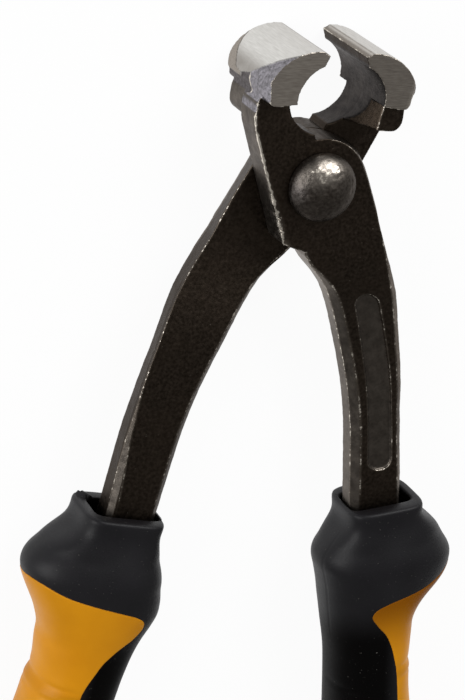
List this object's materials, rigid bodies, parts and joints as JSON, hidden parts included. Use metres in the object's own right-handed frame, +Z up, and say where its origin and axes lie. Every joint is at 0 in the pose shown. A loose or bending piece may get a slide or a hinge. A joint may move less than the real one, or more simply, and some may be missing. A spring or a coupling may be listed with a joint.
{
  "type": "end cutting nippers",
  "caption": "End cutting nippers with forged steel levers, a half-lap joint on a domed rivet and two-material slip-on grips.",
  "frame": {"origin": "on the pivot axis, at the plane the tool rests on when it lies flat", "axes": "+Z up along the pivot axis towards the rivet's dome, +Y along the tool towards the jaws, +X across towards the right handle"},
  "size_m": [0.1322, 0.2503, 0.026],
  "materials": {
    "forged_steel": "dark forged skin with bright ground jaws and worn edges",
    "rivet_steel": "dark hammered",
    "core_plastic": "matte",
    "soft_black": "matte",
    "soft_amber": "satin"
  },
  "bodies": {
    "rear_half": {"rear_lever": "forged_steel", "pivot_rivet": "rivet_steel", "left_grip_core": "core_plastic", "left_grip_sleeve": "soft_black", "left_grip_inlay": "soft_amber"},
    "front_half": {"front_lever": "forged_steel", "right_grip_core": "core_plastic", "right_grip_sleeve": "soft_black", "right_grip_inlay": "soft_amber"}
  },
  "joints": [
    {"name": "pivot", "type": "hinge", "parent": "rear_half", "child": "front_half", "pos_m": [0, 0, 0.012], "axis": [0, 0, 1], "range_deg": [-16, 45]}
  ]
}
